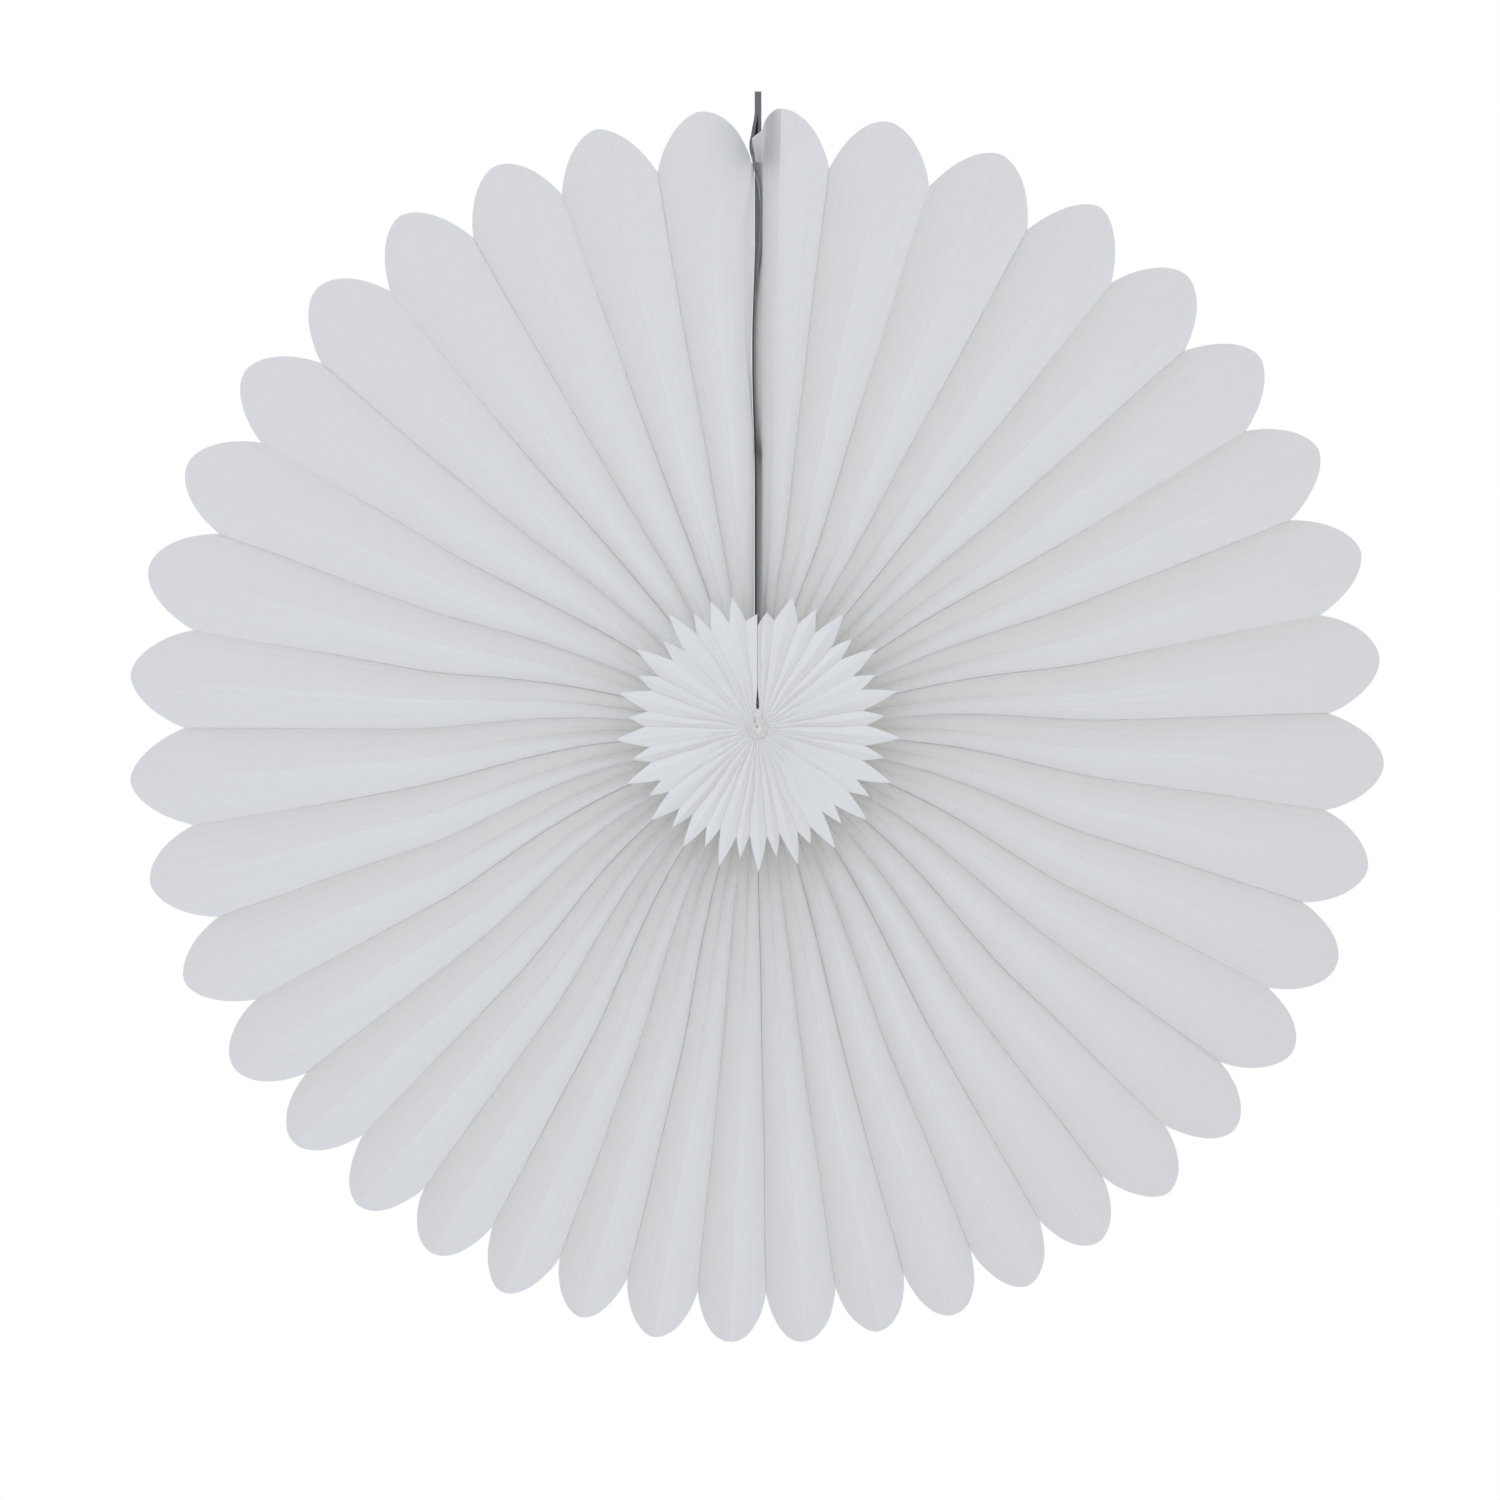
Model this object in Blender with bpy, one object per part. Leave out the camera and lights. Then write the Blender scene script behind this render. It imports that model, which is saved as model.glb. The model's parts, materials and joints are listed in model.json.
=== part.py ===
"""Pleated paper daisy fan, opened to a full disc, with its star, end cards and hub.

Metres, +Z up. The origin is the hole in the hanging tab, and the front of the disc
faces -Y. Folds are numbered clockwise from the seam at the top, seen from the front:
even folds stand forward, between two petals, and odd folds lie back, along a petal's
middle. Every sheet's origin lies on the axis that the fan opens round.
"""

import math

import bmesh
import bpy
from mathutils import Vector

# The disc: petals, their radii and the width of one pleat
PETALS = 40
TIP_RADIUS = 0.300
PETAL_RISE = 0.027
PETAL_CURVE = 1.85
PANEL_WIDTH = 0.025
SHEET = 0.00015
GAP = 0.0003
SHEET_START = 0.012

# End cards with their tab, the tape between them and the flaps on their faces
CARD = 0.0012
CARD_START = 0.026
CARD_INSET = 0.0015
TAB_RISE = 0.007
TAB_WIDTH = 0.010
HOLE_RADIUS = 0.0015
HOLE_BELOW_TOP = 0.005
TAPE = 0.0002
TAPE_SIZE = (0.012, 0.100)
TAPE_MIDDLE = 0.200
FLAP_SHORT = 0.002

# The star in front of the hub
STAR_TIP = 0.0685
STAR_SEAM_TIP = 0.0620
STAR_NOTCH = 0.0520
STAR_START = 0.007
STAR_RELIEF = 0.0012
STAR_LEAN = 0.15

# Thread round the inner ends, and the dab that closes the star
THREAD = 0.0010
DAB_RADIUS = 0.0050
DAB_DEPTH = 0.0020

# How the pleats bunch under their own weight, in degrees, and how far the tips follow
SAG_SIDE = 9.0
SAG_LOW = 1.9
SAG_SHIFT = 0.8
SAG_AT_HUB = 0.5
SAG_REACH = (0.060, 0.170)
SEAM_PULL = 2.2
SEAM_REACH = 7.0
TIP_DROP = 0.0007
TIP_SIDE = 0.0022

# Mesh steps across a panel and along it, and the longest mitre outside a fold
ACROSS = 3
ALONG = 6
STAR_ALONG = 3
OUTER_MITRE = 3.0

# Worked out from the sizes above
NOTCH_RADIUS = TIP_RADIUS - PETAL_RISE
FLAP_END = NOTCH_RADIUS - FLAP_SHORT
TAB_TOP = TIP_RADIUS + TAB_RISE
HUB_DROP = TAB_TOP - HOLE_BELOW_TOP
SEAM_GAP = TAPE + 2 * GAP
HALF_SEAM = SEAM_GAP / 2 + CARD + GAP + SHEET / 2
HALF_STAR_SEAM = (GAP + SHEET) / 2
EDGE_SHIFT = (GAP + SHEET) / 2
THREAD_RING = SHEET_START - 2 * GAP - THREAD / 2
FRONT = -PANEL_WIDTH / 2
LAST_FOLD = 2 * PETALS
STAR_VALLEY = FRONT - OUTER_MITRE * SHEET - GAP
STAR_RIDGE = STAR_VALLEY - STAR_RELIEF

PAPER = ("white_paper", (0.80, 0.82, 0.86, 1.0), 0.85)
STAR_PAPER = ("star_paper", (0.82, 0.84, 0.88, 1.0), 0.85)
BOARD = ("grey_board", (0.20, 0.20, 0.20, 1.0), 0.80)
COTTON = ("cotton_thread", (0.78, 0.77, 0.74, 1.0), 0.90)
GLUE = ("glue", (0.80, 0.80, 0.78, 1.0), 0.55)
ADHESIVE = ("adhesive_tape", (0.75, 0.74, 0.70, 1.0), 0.45)


def clear_scene():
    for obj in list(bpy.data.objects):
        bpy.data.objects.remove(obj, do_unlink=True)


def material(finish):
    """The named material, made once."""
    name, colour, roughness = finish
    made = bpy.data.materials.get(name) or bpy.data.materials.new(name)
    made.use_nodes = True
    shader = made.node_tree.nodes["Principled BSDF"]
    shader.inputs["Base Color"].default_value = colour
    shader.inputs["Roughness"].default_value = roughness
    shader.inputs["Metallic"].default_value = 0.0
    made.diffuse_color = colour
    return made


def add_object(name, bm, finish, hub, smooth=False):
    """A mesh object under the hub, made from a bmesh with its faces turned outwards."""
    bmesh.ops.recalc_face_normals(bm, faces=bm.faces)
    mesh = bpy.data.meshes.new(name)
    bm.to_mesh(mesh)
    bm.free()
    mesh.materials.append(material(finish))
    if smooth:
        mesh.shade_smooth()
    obj = bpy.data.objects.new(name, mesh)
    bpy.context.scene.collection.objects.link(obj)
    obj.parent = hub
    return obj


def is_front(fold):
    return fold % 2 == 0


def is_seam(fold):
    """Whether two sheets are glued together along this front fold."""
    return fold % 4 == 2


def spread(fold, radius=TIP_RADIUS):
    """A fold's angle from the seam in radians, clockwise, before the cards take room."""
    place = min(max(fold / LAST_FOLD, 0.0), 1.0)
    turn = 360.0 * place
    if 0.0 < place < 1.0:
        low, high = SAG_REACH
        share = min(max((radius - low) / (high - low), 0.0), 1.0)
        share = SAG_AT_HUB + (1 - SAG_AT_HUB) * share * share * (3 - 2 * share)
        sag = SAG_SIDE * math.sin(2 * math.pi * place)
        sag -= SAG_LOW * math.sin(4 * math.pi * place)
        sag -= SAG_SHIFT * math.sin(math.pi * place)
        sag -= SEAM_PULL * math.exp(-SEAM_REACH * place)
        turn += share * sag
    return math.radians(turn)


def fold_angle(fold, radius, half_seam):
    """A fold's angle at a radius, with half_seam kept free on each side of the seam."""
    taken = math.asin(half_seam / radius)
    return taken + spread(fold, radius) * (1 - taken / math.pi)


def tip_radius(fold):
    turn = spread(fold)
    return TIP_RADIUS + TIP_DROP * math.cos(turn) - TIP_SIDE * math.cos(2 * turn)


def petal_angle(fold, radius):
    return fold_angle(fold, radius, HALF_SEAM)


def petal_depth(fold, radius):
    """A fold's Y: panels keep their width, so the disc thins as it gets wider."""
    side = -1 if is_front(fold) else 1
    if fold <= 0 or fold >= LAST_FOLD:
        return side * PANEL_WIDTH / 2
    radius = min(radius, NOTCH_RADIUS)
    across = radius * (spread(fold + 1, radius) - spread(fold - 1, radius)) / 2
    across = min(across, 0.985 * PANEL_WIDTH)
    return side * math.sqrt(PANEL_WIDTH**2 - across**2) / 2


def petal_end(fold, share):
    """Outer radius at a share of the way from a fold to the next."""
    if fold < 0 or fold >= LAST_FOLD:
        return FLAP_END
    front, rear = (fold, fold + 1) if is_front(fold) else (fold + 1, fold)
    from_rear = 1 - share if is_front(fold) else share
    start = tip_radius(front) - PETAL_RISE
    rise = tip_radius(rear) - start
    return start + rise * (1 - from_rear**PETAL_CURVE)


def star_angle(fold, radius):
    """The star's notches lean towards the points that stand on glued seams."""
    lean = 0.0
    if not is_front(fold):
        towards = 1 if is_seam(fold + 1) else -1
        lean = towards * STAR_LEAN
    return fold_angle(fold + lean, radius, HALF_STAR_SEAM)


def star_depth(fold, radius):
    return STAR_RIDGE if is_front(fold) else STAR_VALLEY


def star_end(fold, share):
    ends = [STAR_NOTCH, STAR_NOTCH]
    front = fold if is_front(fold) else fold + 1
    ends[front - fold] = STAR_SEAM_TIP if is_seam(front) else STAR_TIP
    return ends[0] + (ends[1] - ends[0]) * share


PETAL = (petal_angle, petal_depth, petal_end, SHEET_START, ACROSS, ALONG)
STAR = (star_angle, star_depth, star_end, STAR_START, 1, STAR_ALONG)


def corner(shape, span, fold, radius):
    """(angle, Y) of a sheet's fold at a radius, with room left at its glued edges."""
    angle, depth = shape[:2]
    turn = angle(fold, radius)
    if fold == span[0] and is_seam(fold):
        turn += EDGE_SHIFT / radius
    if fold == span[1] and is_seam(fold):
        turn -= EDGE_SHIFT / radius
    return turn, depth(fold, radius)


def facing(shape, span, fold, radius):
    """The forward normal, as (tangential, Y), of the panel from a fold to the next."""
    near = corner(shape, span, fold, radius)
    far = corner(shape, span, fold + 1, radius)
    line = Vector(((far[0] - near[0]) * radius, far[1] - near[1])).normalized()
    return Vector((line.y, -line.x))


def pushes(shape, span, fold, share, radius):
    """How far a sheet's front and back faces stand from its middle, in half sheets."""
    normal = facing(shape, span, fold, radius)
    if share > 0.0 or fold == span[0]:
        return normal, -normal
    before = facing(shape, span, fold - 1, radius)
    mitre = (before + normal) / (1 + before.dot(normal))
    short = mitre.normalized() * min(mitre.length, OUTER_MITRE)
    return (short, -mitre) if is_front(fold) else (mitre, -short)


def disc_point(turn, radius, y, push):
    """A point of the disc, pushed by half a sheet along (tangential, Y)."""
    outward = Vector((math.sin(turn), 0.0, math.cos(turn)))
    tangent = Vector((math.cos(turn), 0.0, -math.sin(turn)))
    moved = push * SHEET / 2
    return outward * radius + tangent * moved.x + Vector((0.0, y + moved.y, 0.0))


def strip_rows(shape, span):
    """Rows of (front point, back point), one for each line along a pleated sheet."""
    end, start, across, along = shape[2:]
    lines = [(f, s / across) for f in range(*span) for s in range(across)]
    rows = []
    for fold, share in lines + [(span[1] - 1, 1.0)]:
        outer = end(fold, share)
        row = []
        for step in range(along + 1):
            radius = start + (outer - start) * step / along
            near = corner(shape, span, fold, radius)
            far = corner(shape, span, fold + 1, radius)
            turn = near[0] + (far[0] - near[0]) * share
            y = near[1] + (far[1] - near[1]) * share
            sides = pushes(shape, span, fold, share, radius)
            row.append([disc_point(turn, radius, y, push) for push in sides])
        rows.append(row)
    return rows


def solid_strip(rows):
    """A closed bmesh between a sheet's front and back points."""
    bm = bmesh.new()
    grid = [[[bm.verts.new(point) for point in pair] for pair in row] for row in rows]
    wide, long = len(grid) - 1, len(grid[0]) - 1
    for c in range(wide):
        left, right = grid[c], grid[c + 1]
        for s in range(long):
            for side in (0, 1):
                ring = (left[s], right[s], right[s + 1], left[s + 1])
                bm.faces.new([pair[side] for pair in ring])
        for s in (0, long):
            bm.faces.new((left[s][0], right[s][0], right[s][1], left[s][1]))
    for edge in (grid[0], grid[wide]):
        for near, far in zip(edge, edge[1:]):
            bm.faces.new((near[0], far[0], far[1], near[1]))
    return bm


def sheet_spans():
    """(first fold, last fold) of each sheet: one petal beside each card, then pairs."""
    seams = [fold for fold in range(LAST_FOLD) if is_seam(fold)]
    return list(zip([0] + seams, seams + [LAST_FOLD]))


def with_flap(span):
    """The span of an end sheet, with the flap that is glued along its card."""
    first, last = span
    return (first - 1 if first == 0 else first, last + 1 if last == LAST_FOLD else last)


def pleated_sheets(hub):
    for number, span in enumerate(sheet_spans()):
        petals = solid_strip(strip_rows(PETAL, with_flap(span)))
        add_object(f"petal_sheet_{number:02d}", petals, PAPER, hub)
        points = solid_strip(strip_rows(STAR, span))
        add_object(f"star_sheet_{number:02d}", points, STAR_PAPER, hub)


def card_outline():
    """(Y, Z) round a card and its tab: its end is cut like half a petal."""
    front, rear, half_tab = FRONT + CARD_INSET, -FRONT, TAB_WIDTH / 2

    def top(y):
        share = (rear - y) / (rear - front)
        return NOTCH_RADIUS + PETAL_RISE * (1 - share**PETAL_CURVE)

    steps = 6
    behind = [half_tab + (rear - half_tab) * n / 2 for n in (2, 1, 0)]
    before = [-half_tab + (front + half_tab) * n / steps for n in range(steps + 1)]
    outline = [(front, CARD_START), (rear, CARD_START)]
    outline += [(y, top(y)) for y in behind]
    outline += [(half_tab, TAB_TOP), (-half_tab, TAB_TOP)]
    outline += [(y, top(y)) for y in before]
    return outline


def upright(bm, towards):
    """Turns what was made along Z to lie along another axis."""
    turn = Vector((0, 0, 1)).rotation_difference(Vector(towards))
    bmesh.ops.rotate(bm, verts=bm.verts, matrix=turn.to_matrix())


def cut_hanging_hole(card, hub):
    bm = bmesh.new()
    bmesh.ops.create_cone(
        bm,
        cap_ends=True,
        segments=24,
        radius1=HOLE_RADIUS,
        radius2=HOLE_RADIUS,
        depth=2 * (SEAM_GAP + 2 * CARD),
    )
    upright(bm, (1, 0, 0))
    cutter = add_object(f"{card.name}_cutter", bm, BOARD, hub)
    cutter.location = (0.0, 0.0, HUB_DROP)
    cutter.hide_render = True
    cutter.display_type = "WIRE"
    hole = card.modifiers.new("hanging_hole", "BOOLEAN")
    hole.operation = "DIFFERENCE"
    hole.solver = "EXACT"
    hole.object = cutter


def end_card(name, side, hub):
    bm = bmesh.new()
    inner = side * SEAM_GAP / 2
    face = bm.faces.new([bm.verts.new((inner, y, z)) for y, z in card_outline()])
    grown = bmesh.ops.extrude_face_region(bm, geom=[face])["geom"]
    moved = [item for item in grown if isinstance(item, bmesh.types.BMVert)]
    bmesh.ops.translate(bm, verts=moved, vec=(side * CARD, 0.0, 0.0))
    cut_hanging_hole(add_object(name, bm, BOARD, hub), hub)


def closure_tape(hub):
    bm = bmesh.new()
    bmesh.ops.create_cube(bm, size=1.0)
    bmesh.ops.scale(bm, verts=bm.verts, vec=(TAPE, *TAPE_SIZE))
    tape = add_object("closure_tape", bm, ADHESIVE, hub)
    tape.location = (0.0, 0.0, TAPE_MIDDLE)


def binding_thread(hub):
    """A ring of thread inside the sheets' inner ends."""
    bm = bmesh.new()
    sides = [2 * math.pi * n / 8 for n in range(8)]
    circle = [
        bm.verts.new(
            (THREAD_RING + THREAD / 2 * math.cos(turn), THREAD / 2 * math.sin(turn), 0.0)
        )
        for turn in sides
    ]
    edges = [bm.edges.new((a, b)) for a, b in zip(circle, circle[1:] + circle[:1])]
    bmesh.ops.spin(
        bm,
        geom=circle + edges,
        axis=(0, 1, 0),
        cent=(0, 0, 0),
        angle=2 * math.pi,
        steps=24,
        use_merge=True,
    )
    bmesh.ops.remove_doubles(bm, verts=bm.verts, dist=1e-6)
    add_object("binding_thread", bm, COTTON, hub, smooth=True)


def centre_dab(hub):
    """The dab that holds the star's gathered ends, narrower towards the front."""
    bm = bmesh.new()
    bmesh.ops.create_cone(
        bm,
        cap_ends=True,
        segments=20,
        radius1=DAB_RADIUS,
        radius2=0.6 * DAB_RADIUS,
        depth=DAB_DEPTH,
    )
    upright(bm, (0, -1, 0))
    dab = add_object("centre_dab", bm, GLUE, hub)
    dab.location = (0.0, (STAR_RIDGE + STAR_VALLEY) / 2, 0.0)


def main():
    clear_scene()
    hub = bpy.data.objects.new("hub_axis", None)
    hub.location = (0.0, 0.0, -HUB_DROP)
    bpy.context.scene.collection.objects.link(hub)
    end_card("end_card_right", 1, hub)
    end_card("end_card_left", -1, hub)
    closure_tape(hub)
    pleated_sheets(hub)
    binding_thread(hub)
    centre_dab(hub)


if __name__ == "__main__":
    main()
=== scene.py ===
"""Looks of the pleated paper daisy fan: its petal and star sheets, boards, thread and hub.

Metres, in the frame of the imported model: +Z up, the front of the disc faces -Y. Folds are
numbered clockwise from the seam at 12 o'clock; even folds stand forward as ridges, odd
folds lie back as valleys, and every fourth fold from fold 2 on is a glued ridge.
"""

import json
import logging
import math
from dataclasses import dataclass
from enum import Enum
from typing import Callable, Optional, Union

import bmesh
import bpy
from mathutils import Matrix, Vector


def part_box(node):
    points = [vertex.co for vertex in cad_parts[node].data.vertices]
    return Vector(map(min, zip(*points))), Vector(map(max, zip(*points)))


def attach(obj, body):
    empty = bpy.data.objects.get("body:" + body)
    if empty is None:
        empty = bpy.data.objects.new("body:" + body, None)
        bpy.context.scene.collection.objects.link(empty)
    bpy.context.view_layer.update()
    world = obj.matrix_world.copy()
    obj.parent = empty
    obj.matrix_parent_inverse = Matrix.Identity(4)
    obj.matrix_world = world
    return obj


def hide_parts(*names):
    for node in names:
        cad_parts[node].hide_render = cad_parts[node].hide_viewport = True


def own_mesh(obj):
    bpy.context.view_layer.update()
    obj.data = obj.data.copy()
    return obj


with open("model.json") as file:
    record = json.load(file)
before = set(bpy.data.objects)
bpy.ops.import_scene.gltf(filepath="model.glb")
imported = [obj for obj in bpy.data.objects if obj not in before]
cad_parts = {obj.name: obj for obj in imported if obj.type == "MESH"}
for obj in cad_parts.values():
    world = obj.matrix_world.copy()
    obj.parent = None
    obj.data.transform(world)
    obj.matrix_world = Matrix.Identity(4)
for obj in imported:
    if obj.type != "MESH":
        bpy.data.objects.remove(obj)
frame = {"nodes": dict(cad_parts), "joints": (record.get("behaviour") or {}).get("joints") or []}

Socket = bpy.types.NodeSocket
Tree = bpy.types.NodeTree
Material = bpy.types.Material
Pair = tuple[float, float]
Triple = tuple[float, float, float]

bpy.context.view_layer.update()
LOG = logging.getLogger("paper_fan")
FULL_TURN = 2 * math.pi
PAPER_BOUNCES = 24
PAPER = 0.00015
GLUE_GAP = 0.0003
ROUNDED_OVER = math.radians(50.0)


# ---------------------------------------------------------------- node trees


def arithmetic(operation: str, swapped: bool = False) -> Callable[["Field", "Number"], "Field"]:
    """Makes a method that does one Math operation with another number.

    Args:
        operation: Its name.
        swapped: Whether the other number comes first.

    Returns:
        The method.
    """

    def method(field: "Field", other: "Number") -> "Field":
        """The operation's result."""
        return field.bench.maths(operation, *((other, field) if swapped else (field, other)))

    return method


class Field:
    """A number that varies over a node tree's geometry or surface, with arithmetic."""

    __add__ = __radd__ = arithmetic("ADD")
    __sub__ = arithmetic("SUBTRACT")
    __rsub__ = arithmetic("SUBTRACT", swapped=True)
    __mul__ = __rmul__ = arithmetic("MULTIPLY")
    __truediv__ = arithmetic("DIVIDE")
    __rtruediv__ = arithmetic("DIVIDE", swapped=True)
    __pow__ = arithmetic("POWER")

    def __init__(self, bench: "Bench", socket: Socket) -> None:
        """Keeps the bench and the socket that carries the number."""
        self.bench = bench
        self.socket = socket

    def of(self, operation: str, *others: "Number") -> "Field":
        """A named operation of Blender's Math node on this number and others."""
        return self.bench.maths(operation, self, *others)

    def clamped(self) -> "Field":
        """This number kept between 0 and 1."""
        return self.bench.maths("ADD", self, 0.0, clamp=True)

    def eased(self, low: float, high: float) -> "Field":
        """0 at low, 1 at high, and a smooth step between them."""
        share = ((self - low) * (1 / (high - low))).clamped()
        return share * share * (3.0 - share * 2.0)


Number = Union[float, Field]


class SocketKind(Enum):
    """The kinds of input and output that the trees use."""

    NUMBER = "NodeSocketFloat"
    COUNT = "NodeSocketInt"
    VECTOR = "NodeSocketVector"
    MATERIAL = "NodeSocketMaterial"
    GEOMETRY = "NodeSocketGeometry"


class TreeKind(Enum):
    """The kinds of node group."""

    GEOMETRY = "GeometryNodeTree"
    SHADER = "ShaderNodeTree"


def numbers(*labels: str) -> dict[str, SocketKind]:
    """Sockets that carry numbers, by their labels."""
    return {label: SocketKind.NUMBER for label in labels}


class Bench:
    """Places nodes in one tree and links them."""

    def __init__(self, tree: Tree) -> None:
        """Keeps the tree that the nodes go into."""
        self.tree = tree

    def node(self, kind: str, **settings: object) -> bpy.types.Node:
        """Adds a node.

        Args:
            kind: Blender's type name of the node.
            settings: The node's own properties, by name.

        Returns:
            The new node.
        """
        made = self.tree.nodes.new(kind)
        for name, value in settings.items():
            setattr(made, name, value)
        return made

    def feed(self, socket: Socket, value: object) -> None:
        """Links a field or a socket to an input, or sets the input to a plain value."""
        if isinstance(value, Field):
            value = value.socket
        if isinstance(value, Socket):
            self.tree.links.new(value, socket)
        else:
            socket.default_value = value

    def placed(self, kind: str, inputs: dict[str, object], **settings: object) -> bpy.types.Node:
        """Adds a node and feeds its inputs.

        Args:
            kind: Blender's type name of the node.
            inputs: A value, field or socket for each named input.
            settings: The node's own properties, by name.

        Returns:
            The new node.
        """
        made = self.node(kind, **settings)
        for name, value in inputs.items():
            self.feed(made.inputs[name], value)
        return made

    def maths(self, operation: str, *values: Number, clamp: bool = False) -> Field:
        """One Math node.

        Args:
            operation: Its operation.
            values: Its inputs in order.
            clamp: Whether the result stays between 0 and 1.

        Returns:
            The result.
        """
        made = self.node("ShaderNodeMath", operation=operation, use_clamp=clamp)
        for socket, value in zip(made.inputs, values):
            self.feed(socket, value)
        return Field(self, made.outputs[0])

    def vector(self, x: Number, y: Number, z: Number) -> Socket:
        """A vector made from three numbers."""
        return self.placed("ShaderNodeCombineXYZ", {"X": x, "Y": y, "Z": z}).outputs[0]

    def parts(self, vector: Socket) -> tuple[Field, Field, Field]:
        """The three numbers of a vector."""
        made = self.placed("ShaderNodeSeparateXYZ", {"Vector": vector})
        x, y, z = (Field(self, made.outputs[n]) for n in range(3))
        return x, y, z

    def noise(self, vector: Socket, scale: float, detail: float = 2.0) -> Field:
        """Smooth noise about 0.

        Args:
            vector: Where it is read.
            scale: Its waves per unit.
            detail: How many finer layers are added.

        Returns:
            The noise, from about -0.5 to 0.5.
        """
        made = self.placed(
            "ShaderNodeTexNoise", {"Vector": vector, "Scale": scale, "Detail": detail}
        )
        return Field(self, made.outputs[0]) - 0.5

    def chance(self, number: Number, seed: Number) -> Field:
        """A fixed random value from -1 to 1 for a number and a seed."""
        place = self.maths("MULTIPLY_ADD", seed, 131.7, number)
        made = self.placed("ShaderNodeTexWhiteNoise", {"W": place}, noise_dimensions="1D")
        return Field(self, made.outputs["Value"]) * 2.0 - 1.0

    def group(self, tree: Tree, **inputs: object) -> list[Field]:
        """Places a node group.

        Args:
            tree: The group.
            inputs: A value, field or socket for each input, named with _ for spaces.

        Returns:
            Its outputs.
        """
        geometry = self.tree.bl_idname == "GeometryNodeTree"
        made = self.node("GeometryNodeGroup" if geometry else "ShaderNodeGroup", node_tree=tree)
        for name, value in inputs.items():
            self.feed(made.inputs[name.replace("_", " ")], value)
        return [Field(self, socket) for socket in made.outputs if socket.enabled]

    def here(self) -> tuple[Field, Field, Field]:
        """Where each point of the geometry is."""
        return self.parts(self.node("GeometryNodeInputPosition").outputs[0])

    def grid(self, columns: Union[int, Field], rows: Union[int, Field]) -> Socket:
        """A flat grid of columns by rows of points, from -0.5 to 0.5 both ways."""
        size = {"Size X": 1.0, "Size Y": 1.0, "Vertices X": columns, "Vertices Y": rows}
        return self.placed("GeometryNodeMeshGrid", size).outputs["Mesh"]

    def mapped(self, mesh: Socket, place: Socket) -> Socket:
        """Stores each point's place on the flat sheet, in metres, as the UV map.

        Args:
            mesh: The sheet.
            place: The place.

        Returns:
            The mapped sheet.
        """
        inputs = {"Geometry": mesh, "Name": "UVMap"}
        kind = "GeometryNodeStoreNamedAttribute"
        made = self.placed(kind, inputs, data_type="FLOAT2", domain="CORNER")
        self.feed(next(s for s in made.inputs if s.name == "Value" and s.enabled), place)
        return made.outputs[0]

    def moved(self, mesh: Socket, **by: Socket) -> Socket:
        """A mesh with its points moved to a Position or by an Offset."""
        return self.placed("GeometryNodeSetPosition", {"Geometry": mesh, **by}).outputs[0]

    def merged(self, mesh: Socket, distance: float) -> Socket:
        """A mesh with the points closer than a distance made one."""
        inputs = {"Geometry": mesh, "Distance": distance}
        return self.placed("GeometryNodeMergeByDistance", inputs).outputs[0]

    def finish(self, mesh: Socket, material: Field, out: bpy.types.Node) -> Tree:
        """Ends a geometry tree.

        Args:
            mesh: What the tree has made.
            material: Its material.
            out: The tree's output node.

        Returns:
            The tree.
        """
        real = self.placed("GeometryNodeRealizeInstances", {"Geometry": mesh}).outputs[0]
        dressed = self.placed("GeometryNodeSetMaterial", {"Geometry": real, "Material": material})
        self.feed(out.inputs[0], dressed.outputs[0])
        return self.tree


def new_tree(
    name: str, kind: TreeKind, inputs: dict[str, SocketKind], outputs: dict[str, SocketKind]
) -> tuple[Bench, dict[str, Field], bpy.types.Node]:
    """A new node group with its named sockets.

    Args:
        name: The group's name.
        kind: What it makes.
        inputs: Its inputs.
        outputs: Its outputs.

    Returns:
        A bench on the group, its inputs as fields, and its output node.
    """
    tree = bpy.data.node_groups.new(name, kind.value)
    for side, sockets in (("INPUT", inputs), ("OUTPUT", outputs)):
        for label, socket in sockets.items():
            tree.interface.new_socket(label, in_out=side, socket_type=socket.value)
    bench = Bench(tree)
    given = bench.node("NodeGroupInput")
    fields = {label: Field(bench, given.outputs[label]) for label in inputs}
    return bench, fields, bench.node("NodeGroupOutput")


def realised(
    name: str,
    tree: Tree,
    values: dict[str, object],
    thickness: float = 0.0,
    start: Optional[bpy.types.Mesh] = None,
    rounding: float = 0.0,
) -> bpy.types.Object:
    """Evaluates a geometry tree into a plain mesh object at the origin.

    Args:
        name: The new object's name.
        tree: The tree, whose inputs are set before it is first evaluated.
        values: The value of each named input.
        thickness: The paper's thickness, or 0 for a tree that makes closed bodies.
        start: The mesh that the tree changes, if it starts from one.
        rounding: The width of a small round on its sharp edges, or 0.

    Returns:
        The object, with no modifier left on it.
    """
    host = bpy.data.objects.new(f"{name}_host", start or bpy.data.meshes.new(f"{name}_host"))
    modifier = host.modifiers.new("tree", "NODES")
    modifier.node_group = tree
    for item in tree.interface.items_tree:
        if item.item_type == "SOCKET" and item.in_out == "INPUT" and item.name in values:
            modifier[item.identifier] = values[item.name]
    if rounding:
        edge = host.modifiers.new("rounding", "BEVEL")
        edge.width = rounding
        edge.segments = 2
        edge.limit_method = "ANGLE"
        edge.angle_limit = ROUNDED_OVER
    if thickness:
        wall = host.modifiers.new("paper", "SOLIDIFY")
        wall.thickness = thickness
        wall.offset = 0.0
        wall.use_even_offset = False
    bpy.context.scene.collection.objects.link(host)
    graph = bpy.context.evaluated_depsgraph_get()
    mesh = bpy.data.meshes.new_from_object(host.evaluated_get(graph))
    bpy.data.objects.remove(host)
    mesh.name = name
    made = bpy.data.objects.new(name, mesh)
    bpy.context.scene.collection.objects.link(made)
    return made


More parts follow.
